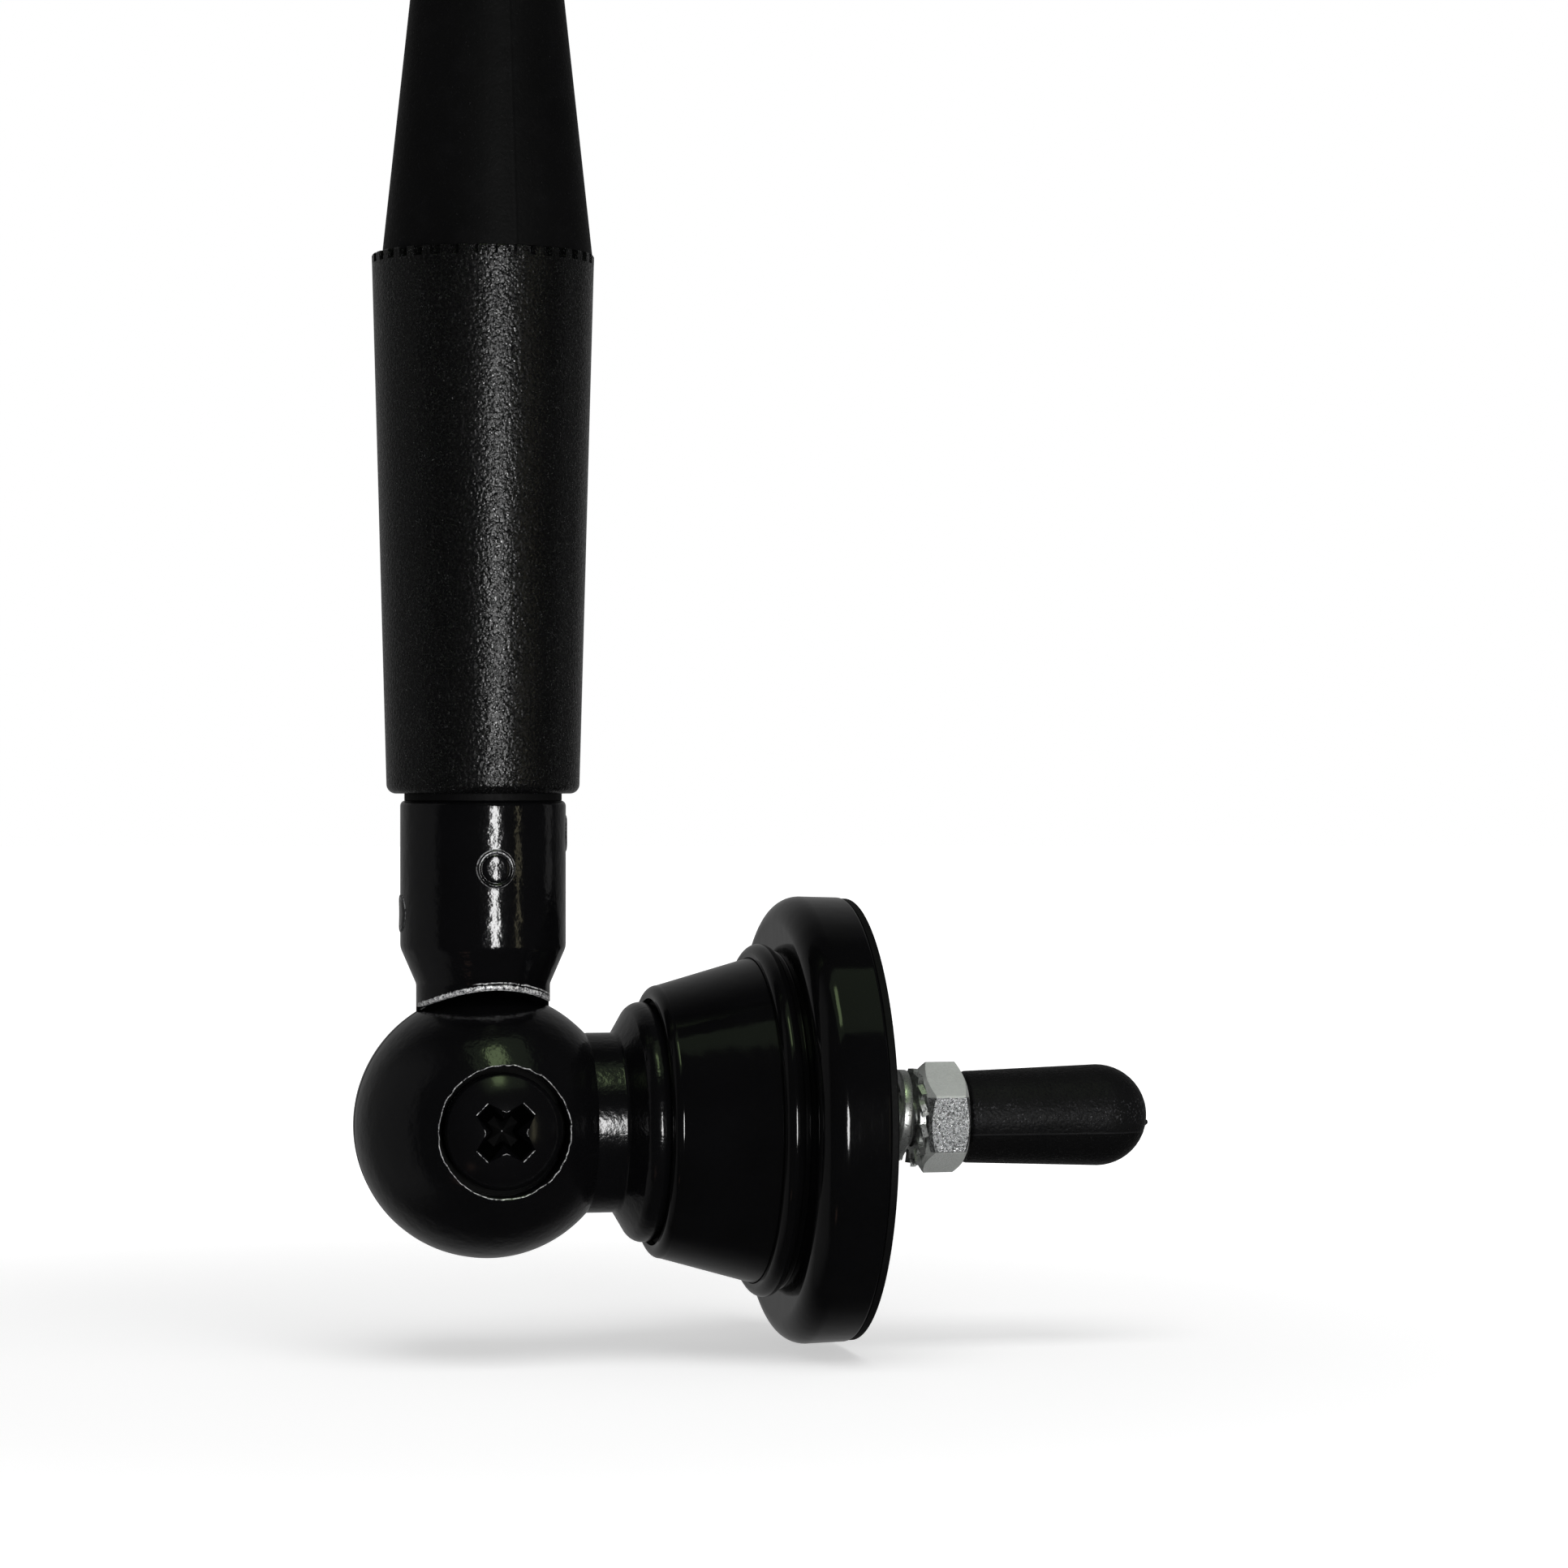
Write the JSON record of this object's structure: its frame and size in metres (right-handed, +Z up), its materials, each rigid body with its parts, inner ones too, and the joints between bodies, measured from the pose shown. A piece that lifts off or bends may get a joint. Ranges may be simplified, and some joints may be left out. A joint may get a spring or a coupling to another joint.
{
  "type": "rubber duck antenna",
  "caption": "Rubber whip antenna with a tapered grip on a split-ball swivel, a conical flanged side-mount base and a threaded stud with nut, washers and rubber cap.",
  "frame": {"origin": "centre of the base's back face, on the stud's axis, where the gasket meets the panel", "axes": "+X out along the mounting stud, +Z up along the mast at rest, +Y along the swivel's axis to the far half of the ball"},
  "size_m": [0.0856, 0.0472, 0.3732],
  "materials": {
    "black_rubber": "matte, fine spark texture",
    "black_gloss_metal": "gloss black paint on die-cast zinc",
    "black_gloss_plastic": "polished mould finish",
    "black_seal_rubber": "smooth",
    "cap_rubber": "matte with fine speckle",
    "black_screw_steel": "gloss black",
    "dark_steel": "blackened, turned",
    "zinc_plated_steel": "bright zinc plating, grainy",
    "nylon": "natural nylon",
    "fibreglass": "pultruded rod",
    "copper_wire": "drawn wire"
  },
  "bodies": {
    "base": {"base_knuckle": "black_gloss_metal", "friction_disc": "nylon", "pivot_spring_washer": "zinc_plated_steel", "pivot_screw": "black_screw_steel", "neck_seal": "black_seal_rubber", "base_cone": "black_gloss_plastic", "insulating_bush": "nylon", "base_flange": "black_gloss_plastic", "base_gasket": "black_seal_rubber", "insulating_washer": "nylon", "retaining_nut": "zinc_plated_steel", "mounting_stud": "zinc_plated_steel", "spring_washer": "zinc_plated_steel", "tooth_washer": "zinc_plated_steel", "hex_nut": "zinc_plated_steel"},
    "mast": {"mast_knuckle": "black_gloss_metal", "locking_pin_right": "black_gloss_metal", "locking_pin_front": "black_gloss_metal", "locking_pin_left": "black_gloss_metal", "mast_plug": "dark_steel", "grip_sleeve": "black_rubber", "upper_mast": "black_rubber", "core_rod": "fibreglass", "radiator_wire": "copper_wire"},
    "cap": {"stud_cap": "cap_rubber"}
  },
  "joints": [
    {"name": "mast_swivel", "type": "hinge", "parent": "base", "child": "mast", "pos_m": [-0.0386, 0, 0], "axis": [0, -1, 0], "range_deg": [0, 180]},
    {"name": "cap_pull", "type": "slide", "parent": "base", "child": "cap", "axis": [1, 0, 0], "range_m": [0, 0.02]}
  ]
}
